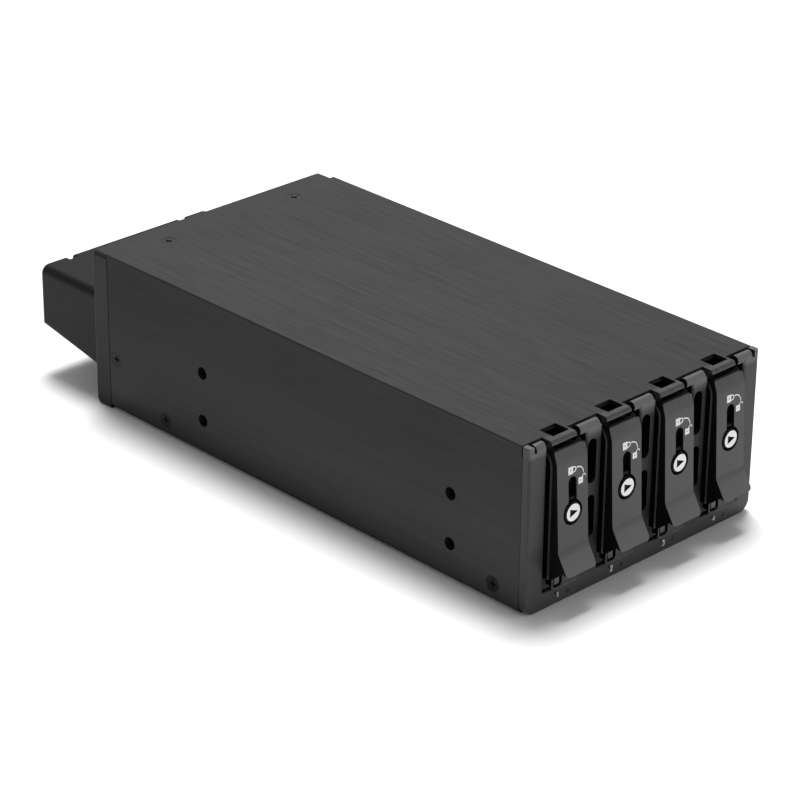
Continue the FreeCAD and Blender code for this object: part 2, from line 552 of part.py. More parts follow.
def carrier(x):
    a, b = x + 0.6, x + 10.9
    s = union(box(b - 0.8, b, 8.3, Y_GUIDE1, 5.5, TRAY_TOP), box(a, b, 8.3, Y_GUIDE1, 5.5, 6.3), box(a, b, 8.3, Y_GUIDE1, TRAY_TOP - 0.8, TRAY_TOP),
              *[cylx(1.9, x + 8.5, x + 10.2, y, z) for y in (21.0, 88.0) for z in (9.2, 34.8)])
    cuts = [cylx(0.9, x + 8, x + 12, y, z) for y in (21.0, 88.0) for z in (9.2, 34.8)]
    cuts += [cylx(0.9, x + 8, x + 12, 12.0, 13.0), cylx(0.9, x + 8, x + 12, 12.0, 24.0)]
    for k in range(4):
        y0 = 27.0 + 14.5 * k
        cuts.append(box(x + 9.5, x + 12, y0, y0 + 9.5, 14.0, 30.0))
    for k in range(3):
        y0 = 30.0 + 20.0 * k
        cuts.append(box(x + 2.5, x + 6.5, y0, y0 + 12, 36.9, 39.0))
    s = s.cut(cuts)
    return s


def board(x):
    s = union(box(x + 7.3, x + 8.5, 13.2, 100.5, 7.2, 36.8), box(x + 7.3, x + 8.5, 100.0, 108.0, 13.0, 31.0))
    s = s.cut([cylx(1.0, x + 7, x + 9, y, z) for y in (21.0, 88.0) for z in (9.2, 34.8)])
    return s


def card_socket(x):
    s = box(x + 3.3, x + 7.3, 92.5, 99.8, 10.6, 33.4)
    s = fillet(s, 0.35, lambda e: is_line(e, "z"))
    s = s.cut(box(x + 4.45, x + 5.45, 92.0, 96.6, 11.5, 32.5))
    s = union(s, box(x + 4.4, x + 5.5, 93.0, 96.7, 26.0, 27.2))
    s = s.cut([box(x + 3.2, x + 3.6, 94.0, 98.8, 12.2 + 1.0 * k, 12.7 + 1.0 * k) for k in range(20)])
    return s


def card_post(x):
    s = union(cylx(2.5, x + 5.5, x + 7.3, 17.0, 22.0), cylx(1.3, x + 4.4, x + 5.6, 17.0, 22.0))
    head = cylx(2.3, x + 3.5, x + 4.5, 17.0, 22.0)
    head = fillet(head, 0.4, lambda e: mid(e).x < x + 3.6 and e.Curve.TypeId == "Part::GeomCircle")
    s = union(s, head)
    return s.cut([box(x + 3.0, x + 4.0, 15.8, 18.2, 21.8, 22.2), box(x + 3.0, x + 4.0, 16.8, 17.2, 20.8, 23.2)])


def tray_screws(x):
    out = []
    for y in (21.0, 88.0):
        for z in (9.2, 34.8):
            h = cylx(1.5, x + 6.3, x + 7.3, y, z)
            h = fillet(h, 0.35, lambda e: mid(e).x < x + 6.4 and e.Curve.TypeId == "Part::GeomCircle")
            h = union(h, cylx(0.88, x + 7.2, x + 10.9, y, z))
            out.append(h.cut([box(x + 6.0, x + 6.7, y - 0.8, y + 0.8, z - 0.17, z + 0.17),
                              box(x + 6.0, x + 6.7, y - 0.17, y + 0.17, z - 0.8, z + 0.8)]))
    for z in (13.0, 24.0):
        s = cylx(0.88, x + 9.4, x + 10.9, 12.0, z)
        out.append(s.cut(box(x + 10.6, x + 11.2, 11.2, 12.8, z - 0.15, z + 0.15)))
    return Part.makeCompound(out)


for i in range(BAYS):
    x = XL[i]
    n = "tray_%d_" % (i + 1)
    put(n + "front", tray_front(x), 1)
    put(n + "carrier", carrier(x), 1)
    put(n + "board", board(x), 1)
    put(n + "card_socket", card_socket(x), 1)
    put(n + "card_post", card_post(x), 1)
    put(n + "screws", tray_screws(x), 6)
    put(n + "light_pipe", box(x + 2.7, x + 4.3, -0.45, 7.5, 6.3, 7.9), 1)
    put(n + "pivot_pin", cylx(PIN_R, x + 0.6, x + 10.9, PIVOT_Y, PIVOT_Z), 1)
    put(n + "lever", lever(x), 1)
    put(n + "lock", lock(x), 1)

# ---- place and write -----------------------------------------------------
lo = [1e9] * 3
hi = [-1e9] * 3
for s in OUT.values():
    b = s.BoundBox
    for k, (p, q) in enumerate(((b.XMin, b.XMax), (b.YMin, b.YMax), (b.ZMin, b.ZMax))):
        lo[k] = min(lo[k], p)
        hi[k] = max(hi[k], q)
print("box in the working frame", [round(v, 3) for v in lo], [round(v, 3) for v in hi])
SHIFT = V(-W / 2.0, -(Y_LIP + Y_REAR) / 2.0, -Z_BASE)
print("shift", SHIFT)
for name, s in OUT.items():
    c = s.copy()
    c.translate(SHIFT)
    c.exportStep("parts/%s.step" % name)
print(len(OUT), "nodes")
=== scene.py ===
import json
import math
import random

import bmesh
import bpy
from mathutils import Matrix, Vector


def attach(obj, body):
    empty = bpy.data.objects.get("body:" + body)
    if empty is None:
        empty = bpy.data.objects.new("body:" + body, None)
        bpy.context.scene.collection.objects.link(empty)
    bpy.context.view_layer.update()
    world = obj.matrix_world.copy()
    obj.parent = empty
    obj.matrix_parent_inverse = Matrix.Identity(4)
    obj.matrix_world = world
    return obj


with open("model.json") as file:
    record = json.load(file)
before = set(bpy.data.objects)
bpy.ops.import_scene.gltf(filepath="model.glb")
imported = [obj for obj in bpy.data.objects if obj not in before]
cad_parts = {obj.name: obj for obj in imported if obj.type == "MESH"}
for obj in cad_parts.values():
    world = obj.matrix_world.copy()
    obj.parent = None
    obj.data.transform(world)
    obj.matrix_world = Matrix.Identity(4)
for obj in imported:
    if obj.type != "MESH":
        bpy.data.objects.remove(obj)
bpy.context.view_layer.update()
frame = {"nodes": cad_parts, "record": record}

NODES = frame["nodes"]
SC = bpy.context.scene
random.seed(7)

# The drawing frame: x from the left side, y back from the bezel's face, z up
# from 1.2 below the base, all in millimetres. P() takes it to the row frame in
# metres.
SX, SY, SZ = -35.5, -78.675, -1.2
BAY_X = [5.25 + 16.45 * i for i in range(4)]
BAY_W = 11.5
W, H = 71.0, 40.4


def P(x, y, z):
    return Vector(((x + SX) / 1000.0, (y + SY) / 1000.0, (z + SZ) / 1000.0))


# ---------------------------------------------------------------- materials
class Mat:
    """one procedural material on a Principled shader"""

    def __init__(self, name, color, rough, metal=0.0, spec=0.5, coat=0.0, coat_rough=0.2):
        self.m = bpy.data.materials.new(name)
        self.m.use_nodes = True
        self.t = self.m.node_tree
        self.b = next(n for n in self.t.nodes if n.type == "BSDF_PRINCIPLED")
        self.co = self.t.nodes.new("ShaderNodeTexCoord").outputs["Object"]
        self.color, self.rough = tuple(color), rough
        self.b.inputs["Base Color"].default_value = (*self.color, 1)
        self.b.inputs["Roughness"].default_value = rough
        self.b.inputs["Metallic"].default_value = metal
        self.b.inputs["Specular IOR Level"].default_value = spec
        self.b.inputs["Coat Weight"].default_value = coat
        self.b.inputs["Coat Roughness"].default_value = coat_rough
        self.height = None

    def node(self, kind, **kw):
        n = self.t.nodes.new(kind)
        for k, v in kw.items():
            setattr(n, k, v)
        return n

    def link(self, a, b):
        self.t.links.new(a, b)

    def scaled(self, s, turn=(0, 0, 0)):
        mp = self.node("ShaderNodeMapping")
        mp.inputs["Scale"].default_value = s if hasattr(s, "__len__") else (s, s, s)
        mp.inputs["Rotation"].default_value = turn
        self.link(self.co, mp.inputs["Vector"])
        return mp.outputs["Vector"]

    def noise(self, s, detail=4.0, rough=0.55, dist=0.0, turn=(0, 0, 0)):
        n = self.node("ShaderNodeTexNoise")
        n.inputs["Scale"].default_value = 1.0
        n.inputs["Detail"].default_value = detail
        n.inputs["Roughness"].default_value = rough
        n.inputs["Distortion"].default_value = dist
        self.link(self.scaled(s, turn), n.inputs["Vector"])
        return n.outputs["Fac"]

    def cells(self, s, feature="F1", out="Distance"):
        n = self.node("ShaderNodeTexVoronoi", feature=feature)
        n.inputs["Scale"].default_value = 1.0
        self.link(self.scaled(s), n.inputs["Vector"])
        return n.outputs[out]

    def remap(self, v, a, b, c=0.0, d=1.0):
        n = self.node("ShaderNodeMapRange", clamp=True)
        self.link(v, n.inputs["Value"])
        for k, x in zip(("From Min", "From Max", "To Min", "To Max"), (a, b, c, d)):
            n.inputs[k].default_value = x
        return n.outputs["Result"]

    def math(self, op, a, b=None, c=None):
        n = self.node("ShaderNodeMath", operation=op)
        for k, x in enumerate((a, b, c)):
            if x is None:
                continue
            if isinstance(x, (int, float)):
                n.inputs[k].default_value = x
            else:
                self.link(x, n.inputs[k])
        return n.outputs[0]

    def mix(self, fac, a, b):
        n = self.node("ShaderNodeMix", data_type="RGBA")
        if isinstance(fac, (int, float)):
            n.inputs[0].default_value = fac
        else:
            self.link(fac, n.inputs[0])
        for k, x in ((6, a), (7, b)):
            if isinstance(x, tuple):
                n.inputs[k].default_value = (*x, 1)
            else:
                self.link(x, n.inputs[k])
        return n.outputs[2]

    def mix_value(self, fac, a, b):
        n = self.node("ShaderNodeMix", data_type="FLOAT")
        self.link(fac, n.inputs[0])
        self.link(a, n.inputs[2])
        self.link(b, n.inputs[3])
        return n.outputs[0]

    def bump(self, v, strength, dist):
        n = self.node("ShaderNodeBump")
        n.inputs["Strength"].default_value = strength
        n.inputs["Distance"].default_value = dist
        self.link(v, n.inputs["Height"])
        if self.height is not None:
            self.link(self.height, n.inputs["Normal"])
        self.height = n.outputs["Normal"]
        self.link(self.height, self.b.inputs["Normal"])

    def edge(self, radius, lo=0.02, hi=0.25):
        """0 on flats, 1 on outer and inner edges"""
        bv = self.node("ShaderNodeBevel", samples=6)
        bv.inputs["Radius"].default_value = radius
        ge = self.node("ShaderNodeNewGeometry")
        d = self.node("ShaderNodeVectorMath", operation="DOT_PRODUCT")
        self.link(bv.outputs[0], d.inputs[0])
        self.link(ge.outputs["Normal"], d.inputs[1])
        return self.remap(d.outputs["Value"], 1.0 - lo, 1.0 - hi)

    def sideways(self):
        """1 on faces whose own normal points left or right"""
        n = self.node("ShaderNodeTexCoord")
        sp = self.node("ShaderNodeSeparateXYZ")
        self.link(n.outputs["Normal"], sp.inputs[0])
        return self.remap(self.math("ABSOLUTE", sp.outputs[0]), 0.86, 0.96)

    def base(self, v):
        self.link(v, self.b.inputs["Base Color"])

    def roughness(self, v):
        self.link(v, self.b.inputs["Roughness"])

    def xyz(self):
        n = self.node("ShaderNodeSeparateXYZ")
        self.link(self.co, n.inputs[0])
        return n.outputs[0], n.outputs[1], n.outputs[2]


def grey(v, warm=0.0):
    return (v * (1 + warm), v, v * (1 - warm))


MATS = {}


def painted(name, g, rough, grain=0.0002, grain_amt=0.12, spec=0.5, wear=0.5, orange=0.0012, warm=0.01, side=1.0, rail=False,
            lip=False):
    """satin or powder coated black sheet: fine grain, slow cloudiness, rubbed
    edges; side paints shade on the narrow faces that look left or right; rail
    paints light towards the bottom, a highlight along the rail's upper edge, shade on the pillars between the bays and
    their slot walls and a highlight on their rolled tops; lip paints light on the flared lip and shade on the upper end
    behind the cover's tongue and around the lock"""
    m = Mat(name, grey(g, warm), rough, spec=spec)
    fine = m.noise(1.0 / grain, 3.0, 0.6)
    cloud = m.noise(45.0, 3.0, 0.5)
    scuff = m.noise((2600.0, 900.0, 240.0), 2.0, 0.6, 0.4)
    col = m.mix(m.remap(cloud, 0.35, 0.65), grey(g * 0.86, warm), grey(g * 1.14, warm))
    col = m.mix(m.remap(fine, 0.42, 0.72, 0.0, 0.35), col, grey(g * 1.7, warm))
    e = m.edge(0.00022)
    brk = m.remap(m.noise(1400.0, 3.0, 0.6), 0.38, 0.62, 0.25, 1.0)
    col = m.mix(m.math("MULTIPLY", m.math("MULTIPLY", e, brk), wear), col, grey(min(1.0, g * 2.6 + 0.008), warm))
    x, y, z = m.xyz()
    if rail:
        # painted light: the rail is lightened towards the bottom
        col = m.mix(m.remap(z, (9.0 + SZ) / 1000.0, (4.0 + SZ) / 1000.0, 0.0, 0.75), col, grey(g * 2.1, warm))
        # painted highlight along the rail's upper edge, broken by noise
        painted_crest_highlight = m.math("MULTIPLY", m.remap(z, (4.55 + SZ) / 1000.0, (4.95 + SZ) / 1000.0), m.remap(z, (5.45 + SZ) / 1000.0, (5.25 + SZ) / 1000.0))
        painted_crest_highlight = m.math("MULTIPLY", painted_crest_highlight, m.remap(m.noise(900.0, 3.0, 0.6), 0.42, 0.62, 0.1, 0.9))
        # the painted highlight is kept to the stretch under each lever's lip
        bay = m.math("FRACT", m.math("MULTIPLY", m.math("SUBTRACT", x, (BAY_X[0] + SX) / 1000.0), 1000.0 / (BAY_X[1] - BAY_X[0])))
        painted_crest_highlight = m.math("MULTIPLY", painted_crest_highlight, m.math("MULTIPLY", m.remap(bay, 0.22, 0.30), m.remap(bay, 0.66, 0.60)))
        col = m.mix(painted_crest_highlight, col, grey(g * 4.5, warm))
        # painted shade on the pillars between the bays, deeper towards each one's right side,
        # and a painted highlight on the rolled tops of all pillars
        painted_pillar_shade = m.math("MULTIPLY", m.remap(bay, 0.70, 0.99, 0.42, 0.84), m.remap(m.math("ABSOLUTE", x), 0.0302, 0.0300))
        painted_pillar_shade = m.math("MULTIPLY", painted_pillar_shade, m.math("MULTIPLY", m.remap(z, (37.2 + SZ) / 1000.0, (36.2 + SZ) / 1000.0),
                                             m.remap(z, (5.2 + SZ) / 1000.0, (6.6 + SZ) / 1000.0)))
        col = m.mix(painted_pillar_shade, col, grey(g * 0.22, warm))
        # painted highlight on the rolled tops
        painted_roll_highlight = m.remap(z, (37.4 + SZ) / 1000.0, (38.4 + SZ) / 1000.0)
        col = m.mix(painted_roll_highlight, col, grey(g * 3.0, warm))
        # painted shade on the walls inside the pillars' slots, applied in the side branch below
        wall = m.math("MULTIPLY", m.sideways(), m.remap(m.math("ABSOLUTE", x), 0.0345, 0.0335))
        wall = m.math("MULTIPLY", wall, m.remap(z, (5.6 + SZ) / 1000.0, (6.0 + SZ) / 1000.0))
    gloss = None
    if lip:
        # painted shade in the recess around the lock
        painted_well_shade = m.math("MULTIPLY", m.remap(y, (-1.80 + SY) / 1000.0, (-1.70 + SY) / 1000.0),
                      m.remap(m.math("ABSOLUTE", m.math("SUBTRACT", z, (23.1 + SZ) / 1000.0)), 0.0042, 0.0040))
        # painted light on the flared lip
        painted_flare_light = m.math("MULTIPLY", m.remap(z, (15.2 + SZ) / 1000.0, (13.8 + SZ) / 1000.0),
                       m.remap(y, (-2.4 + SY) / 1000.0, (-2.8 + SY) / 1000.0))
        col = m.mix(painted_flare_light, col, grey(g * 2.1, warm))
        # painted shade on the upper end, where it sits behind the cover's tongue
        painted_lever_shade = m.remap(z, (37.55 + SZ) / 1000.0, (37.75 + SZ) / 1000.0)
        painted_lever_shade = m.math("MAXIMUM", painted_lever_shade, painted_well_shade)
        col = m.mix(painted_lever_shade, col, grey(g * 0.12, warm))
        gloss = m.remap(painted_lever_shade, 0.0, 1.0, 1.0, 0.15)
    # painted shade: faces that look left or right get a darker colour and less sheen
    if side < 1.0:
        mask = m.sideways()
        col = m.mix(mask, col, grey(g * side, warm))
        sp = m.remap(mask, 0.0, 1.0, spec, spec * side)
        # painted shade on the slot walls and the inner pillars, painted highlight on the rolled tops, also in the sheen
        if rail:
            col = m.mix(wall, col, grey(g * 0.12, warm))
            gloss = m.math("MULTIPLY", m.remap(wall, 0.0, 1.0, 1.0, 0.12), m.remap(painted_pillar_shade, 0.0, 1.0, 1.0, 0.22))
            gloss = m.math("MULTIPLY", gloss, m.remap(painted_roll_highlight, 0.0, 1.0, 1.0, 1.3))
        m.link(sp if gloss is None else m.math("MULTIPLY", sp, gloss), m.b.inputs["Specular IOR Level"])
    m.base(col)
    r = m.math("ADD", m.remap(fine, 0.3, 0.7, rough - 0.05, rough + 0.06), m.remap(scuff, 0.5, 0.8, 0.0, 0.07))
    m.roughness(m.math("SUBTRACT", r, m.math("MULTIPLY", e, 0.1)))
    m.bump(fine, grain_amt, grain * 0.35)
    m.bump(m.noise(1.0 / orange, 2.0, 0.5), grain_amt * 0.5, 0.00004)
    return m


def moulded(name, g, rough, grain=0.0003, amt=0.25, spec=0.5, warm=0.01, wear=0.35, side=1.0):
    """moulded plastic with a spark-eroded grain; side paints shade on faces that look left or right"""
    m = Mat(name, grey(g, warm), rough, spec=spec)
    pits = m.cells(1.0 / grain)
    fine = m.noise(1.0 / (grain * 0.6), 3.0, 0.6)
    cloud = m.noise(60.0, 2.0, 0.5)
    col = m.mix(m.remap(cloud, 0.35, 0.65), grey(g * 0.85, warm), grey(g * 1.15, warm))
    e = m.edge(0.00025)
    col = m.mix(m.math("MULTIPLY", e, wear), col, grey(g * 2.6 + 0.01, warm))
    # painted shade on faces that look left or right
    if side < 1.0:
        mask = m.sideways()
        col = m.mix(mask, col, grey(g * side, warm))
        m.link(m.remap(mask, 0.0, 1.0, spec, spec * side), m.b.inputs["Specular IOR Level"])
    m.base(col)
    m.roughness(m.math("ADD", m.remap(pits, 0.1, 0.7, rough + 0.06, rough - 0.04), m.remap(cloud, 0.3, 0.7, -0.03, 0.03)))
    m.bump(m.math("ADD", pits, fine), amt, grain * 0.25)
    return m


def plated(name, color, rough, metal=1.0, grain=(3000.0, 3000.0, 400.0)):
    """plated or turned metal with fine lines and faint tarnish"""
    m = Mat(name, color, rough, metal=metal)
    lines = m.noise(grain, 3.0, 0.6)
    cloud = m.noise(220.0, 3.0, 0.6)
    dull = tuple(c * 0.72 for c in color)
    m.base(m.mix(m.remap(cloud, 0.35, 0.7), color, dull))
    m.roughness(m.remap(m.math("ADD", lines, m.math("MULTIPLY", cloud, 0.5)), 0.4, 1.1, rough - 0.06, rough + 0.12))
    m.bump(lines, 0.12, 0.00002)
    return m


# brushed and blackened cover: the brushing runs along the cage
def make_cover():
    g = 0.0125
    m = Mat("cover_black", grey(g, 0.012), 0.44, metal=0.0, spec=0.27)
    hair = m.noise((5200.0, 26.0, 5200.0), 3.0, 0.65)
    band = m.noise((900.0, 9.0, 900.0), 3.0, 0.6)
    dash = m.noise((3000.0, 160.0, 3000.0), 2.0, 0.5)
    cloud = m.noise(16.0, 2.0, 0.5)
    col = m.mix(m.remap(band, 0.36, 0.64), grey(g * 0.80, 0.012), grey(g * 1.22, 0.012))
    col = m.mix(m.remap(hair, 0.50, 0.78, 0.0, 0.60), col, grey(g * 2.3, 0.012))
    col = m.mix(m.remap(dash, 0.60, 0.80, 0.0, 0.35), col, grey(g * 2.2, 0.012))
    col = m.mix(m.remap(cloud, 0.40, 0.62, 0.0, 0.22), col, grey(g * 0.72, 0.012))
    e = m.edge(0.00025)
    col = m.mix(m.math("MULTIPLY", e, 0.45), col, grey(g * 2.2 + 0.004, 0.012))
    # painted shade: the two upright sides are darkened in colour and sheen
    mask = m.sideways()
    x, y, z = m.xyz()
    # painted light: that painted shade is eased towards the bottom and the front
    painted_foot_light = m.math("MULTIPLY", m.remap(z, (30.0 + SZ) / 1000.0, (6.0 + SZ) / 1000.0, 0.98, 1.50),
                  m.remap(y, (135.0 + SY) / 1000.0, (15.0 + SY) / 1000.0, 0.79, 1.22))
    col = m.mix(mask, col, m.mix(m.remap(painted_foot_light, 0.8, 1.8), grey(g * 0.48, 0.012), grey(g * 1.08, 0.012)))
    # painted highlight on the tongues at the front edge, broken by noise, with more sheen
    tongue = m.remap(y, (2.2 + SY) / 1000.0, (1.3 + SY) / 1000.0)
    col = m.mix(m.math("MULTIPLY", tongue, m.remap(m.noise(700.0, 3.0, 0.6), 0.35, 0.65, 0.35, 1.0)), col, grey(g * 2.9, 0.012))
    streak = m.noise((1500.0, 48.0, 1500.0), 3.0, 0.6)
    gloss = m.math("ADD", m.remap(streak, 0.34, 0.66, 0.80, 1.14), m.remap(dash, 0.40, 0.62, -0.05, 0.09))
    gloss = m.math("ADD", gloss, m.remap(band, 0.36, 0.64, -0.05, 0.05))
    flat = m.remap(mask, 0.0, 1.0, 1.0, 0.35)
    gloss = m.math("ADD", m.math("MULTIPLY", m.math("SUBTRACT", gloss, 1.0), flat), 1.0)
    gloss = m.math("MULTIPLY", gloss, m.mix_value(mask, m.remap(tongue, 0.0, 1.0, 1.0, 1.5), painted_foot_light))
    m.link(m.math("MULTIPLY", m.remap(mask, 0.0, 1.0, 0.27, 0.17), gloss), m.b.inputs["Specular IOR Level"])
    m.base(col)
    r = m.math("ADD", m.remap(hair, 0.3, 0.7, 0.36, 0.50), m.remap(band, 0.35, 0.65, -0.03, 0.04))
    m.roughness(m.math("ADD", r, m.remap(cloud, 0.35, 0.65, -0.02, 0.03)))
    m.bump(hair, 0.22, 0.00003)
    m.bump(dash, 0.10, 0.00003)
    return m


# printed circuit board: mask with traces, vias and a bare edge
def make_board(name, mask, trace_dir):
    m = Mat(name, mask, 0.38, spec=0.5)
    x, y, z = m.xyz()
    u, v = (y, z) if trace_dir == "x" else ((x, z) if trace_dir == "y" else (x, y))
    comb = m.node("ShaderNodeCombineXYZ")
    m.link(m.math("MULTIPLY", u, 1.0), comb.inputs[0])
    m.link(m.math("MULTIPLY", v, 1.0), comb.inputs[1])
    br = m.node("ShaderNodeTexBrick", offset=0.37, offset_frequency=3, squash=0.7, squash_frequency=4)
    br.inputs["Scale"].default_value = 420.0
    br.inputs["Mortar Size"].default_value = 0.11
    br.inputs["Mortar Smooth"].default_value = 0.15
    br.inputs["Brick Width"].default_value = 3.1
    br.inputs["Row Height"].default_value = 0.27
    m.link(comb.outputs[0], br.inputs["Vector"])
    trace = br.outputs["Fac"]
    area = m.remap(m.noise(150.0, 1.0, 0.4), 0.40, 0.60)
    trace = m.math("MULTIPLY", trace, area)
    via = m.remap(m.cells(640.0), 0.10, 0.16, 1.0, 0.0)
    ring = m.math("MULTIPLY", via, m.remap(m.noise(90.0, 1.0, 0.4), 0.5, 0.52))
    light = tuple(min(1.0, c * 1.9 + 0.004) for c in mask)
    col = m.mix(m.remap(m.noise(900.0, 3.0, 0.6), 0.3, 0.7, 0.0, 0.4), mask, tuple(c * 0.7 for c in mask))
    col = m.mix(m.math("MULTIPLY", trace, 0.45), col, light)
    col = m.mix(m.math("MULTIPLY", ring, 0.8), col, (0.55, 0.53, 0.46))
    m.base(col)
    m.roughness(m.remap(trace, 0.0, 1.0, 0.40, 0.30))
    m.bump(m.math("ADD", trace, m.math("MULTIPLY", m.noise(5000.0, 3.0, 0.6), 0.25)), 0.25, 0.00003)
    return m


def make_lock():
    """dark body; raised white face with a dark arrow-shaped recess"""
    m = Mat("lock_metal", (0.004, 0.004, 0.004), 0.34, metal=0.0, spec=0.06)
    x, y, z = m.xyz()
    ge = m.node("ShaderNodeNewGeometry")
    sep = m.node("ShaderNodeSeparateXYZ")
    tc = m.node("ShaderNodeTexCoord")
    m.link(tc.outputs["Normal"], sep.inputs[0])
    facing = m.remap(sep.outputs[1], -0.80, -0.90)
    front = m.remap(y, (-2.18 + SY) / 1000.0, (-2.22 + SY) / 1000.0)
    white = m.math("MULTIPLY", facing, front)
    recess = m.math("MULTIPLY", m.remap(y, (-1.8 + SY) / 1000.0, (-1.85 + SY) / 1000.0), m.math("SUBTRACT", 1.0, white))
    rubbed = m.noise(1500.0, 4.0, 0.65)
    metal = m.mix(m.remap(rubbed, 0.35, 0.7), (0.0025, 0.0025, 0.0025), (0.005, 0.005, 0.005))
    face = m.mix(m.remap(rubbed, 0.45, 0.75, 0.0, 0.35), (0.86, 0.86, 0.85), (0.70, 0.70, 0.69))
    col = m.mix(recess, metal, (0.016, 0.016, 0.016))
    col = m.mix(white, col, face)
    m.base(col)
    m.roughness(m.remap(rubbed, 0.3, 0.7, 0.32, 0.46))
    m.bump(m.noise((2500.0, 2500.0, 2500.0), 3.0, 0.6), 0.10, 0.00002)
    return m


def make_clear():
    """smoke tinted light pipe"""
    m = Mat("clear_plastic", (0.10, 0.10, 0.10), 0.16)
    m.b.inputs["Transmission Weight"].default_value = 0.35
    m.b.inputs["IOR"].default_value = 1.49
    m.roughness(m.remap(m.noise(1800.0, 3.0, 0.6), 0.3, 0.7, 0.14, 0.28))
    m.bump(m.noise(900.0, 2.0, 0.5), 0.12, 0.00004)
    m.base(m.mix(m.remap(m.noise(700.0, 2.0, 0.5), 0.4, 0.6), (0.115, 0.115, 0.115), (0.085, 0.085, 0.086)))
    return m


def make_lens():
    m = Mat("smoked_lens", (0.012, 0.012, 0.014), 0.14, coat=0.6, coat_rough=0.06)
    m.base(m.mix(m.remap(m.noise(1200.0, 2.0, 0.5), 0.35, 0.65), (0.010, 0.010, 0.012), (0.020, 0.019, 0.021)))
    m.roughness(m.remap(m.noise(2600.0, 3.0, 0.6), 0.3, 0.7, 0.10, 0.22))
    m.bump(m.noise(1500.0, 2.0, 0.5), 0.06, 0.00003)
    return m


def make_ink():
    m = Mat("white_ink", (0.80, 0.80, 0.79), 0.55)
    n = m.noise(5200.0, 3.0, 0.6)
    m.base(m.mix(m.remap(n, 0.40, 0.75, 0.0, 0.45), (0.82, 0.82, 0.81), (0.50, 0.50, 0.50)))
    m.roughness(m.remap(n, 0.3, 0.7, 0.48, 0.66))
    m.bump(n, 0.2, 0.00002)
    return m


def make_component():
    m = Mat("component_black", grey(0.018), 0.52)
    f = m.noise(5200.0, 3.0, 0.6)
    m.base(m.mix(m.remap(f, 0.35, 0.7), grey(0.014), grey(0.028)))
    m.roughness(m.remap(f, 0.3, 0.7, 0.46, 0.62))
    m.bump(f, 0.25, 0.00004)
    return m


MATS["cover_black"] = make_cover()
# side=, rail= and lip= paint shade and light into these colours
MATS["sheet_black"] = painted("sheet_black", 0.008, 0.55, grain=0.00025, grain_amt=0.3, spec=0.25)
MATS["bezel_black"] = painted("bezel_black", 0.025, 0.42, grain=0.00022, grain_amt=0.10, wear=0.45, spec=0.33, side=0.92, rail=True)
MATS["lever_black"] = painted("lever_black", 0.043, 0.40, grain=0.00020, grain_amt=0.08, wear=0.5, spec=0.36, side=0.15, lip=True)
MATS["tray_black"] = painted("tray_black", 0.036, 0.44, grain=0.00025, grain_amt=0.16, spec=0.40, side=0.07)
MATS["screw_black"] = painted("screw_black", 0.007, 0.36, grain=0.00018, grain_amt=0.10, wear=0.9, spec=0.28, side=0.5)
MATS["frame_black"] = moulded("frame_black", 0.010, 0.48, grain=0.00028, amt=0.2, spec=0.30, side=0.6)
MATS["hood_plastic"] = moulded("hood_plastic", 0.0056, 0.52, grain=0.00034, amt=0.30, spec=0.165, side=0.93)
MATS["socket_plastic"] = moulded("socket_plastic", 0.016, 0.42, grain=0.00030, amt=0.12)
MATS["guide_plastic"] = moulded("guide_plastic", 0.030, 0.46, grain=0.00030, amt=0.10)
MATS["lock_metal"] = make_lock()
MATS["zinc_steel"] = plated("zinc_steel", (0.58, 0.59, 0.61), 0.30)
MATS["brass"] = plated("brass", (0.72, 0.52, 0.24), 0.28)
MATS["connector_shell"] = plated("connector_shell", (0.62, 0.62, 0.63), 0.26, grain=(400.0, 3000.0, 3000.0))
MATS["gold"] = plated("gold", (0.83, 0.60, 0.24), 0.24)
MATS["tin"] = plated("tin", (0.70, 0.71, 0.72), 0.34, grain=(2500.0, 2500.0, 2500.0))
MATS["board_green_x"] = make_board("board_green_x", (0.010, 0.050, 0.026), "x")
MATS["board_green_y"] = make_board("board_green_y", (0.010, 0.050, 0.026), "y")
MATS["board_green_z"] = make_board("board_green_z", (0.010, 0.050, 0.026), "z")
MATS["component_black"] = make_component()
MATS["clear_plastic"] = make_clear()
MATS["smoked_lens"] = make_lens()
MATS["white_ink"] = make_ink()

SLOT = {s["node"]: s["material_slot"] for s in frame["record"]["subparts"]}


def wear(o, mat):
    o.data.materials.clear()
    o.data.materials.append(MATS[mat].m)


for name, o in NODES.items():
    key = SLOT[name]
    if key == "board_green":
        key = "board_green_y" if name == "backplane_board" else ("board_green_z" if name == "connector_board" else "board_green_x")
    wear(o, key)


# ---------------------------------------------------- broken edges on the CAD
EDGE = {"top_cover": 0.15, "base_tray": 0.12, "front_bezel": 0.12, "rear_frame": 0.15, "rear_plate": 0.12, "rear_hood": 0.2,
        "lower_guide": 0.12, "upper_guide": 0.12, "backplane_board": 0.05, "backplane_sockets": 0.10,
        "backplane_brackets": 0.08, "backplane_screws": 0.05, "connector_board": 0.05, "board_standoffs": 0.06,
        "board_header": 0.10, "board_components": 0.06, "data_connectors": 0.08, "power_connector": 0.10,
        "cover_screws": 0.05, "status_lenses": 0.04}
TRAY_EDGE = {"front": 0.08, "carrier": 0.08, "board": 0.05, "card_socket": 0.08, "card_post": 0.06, "screws": 0.04,
             "light_pipe": 0.15, "pivot_pin": 0.06, "lever": 0.10, "lock": 0.06}
for k in range(1, 5):
    for n, w in TRAY_EDGE.items():
        EDGE["tray_%d_%s" % (k, n)] = w
